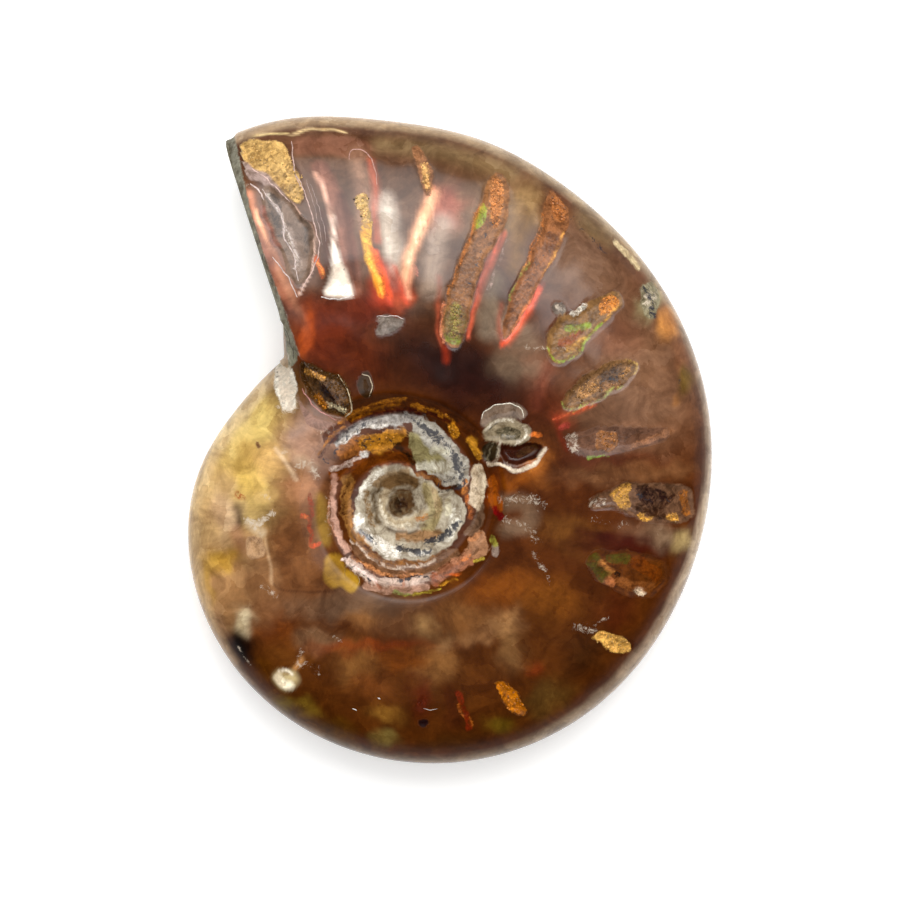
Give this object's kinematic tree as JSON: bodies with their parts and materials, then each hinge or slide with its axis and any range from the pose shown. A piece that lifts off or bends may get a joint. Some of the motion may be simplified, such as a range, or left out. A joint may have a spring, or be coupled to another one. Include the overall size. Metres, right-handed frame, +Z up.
{
  "type": "ammonite fossil",
  "caption": "Polished coiled ammonite fossil with shallow mineral-filled furrows and an open navel, lying flat on its ground flank.",
  "frame": {"origin": "middle of the bounding box at the surface the fossil lies on", "axes": "+Z up through the pictured flank, +Y towards the side of the mouth's tip, along the length; +X to the right as seen from above"},
  "size_m": [0.0486, 0.0602, 0.0145],
  "materials": {
    "fossil": "polished, iridescent in the furrows, frosted in the chips"
  },
  "bodies": {
    "root": {"ammonite": "fossil"}
  },
  "joints": []
}
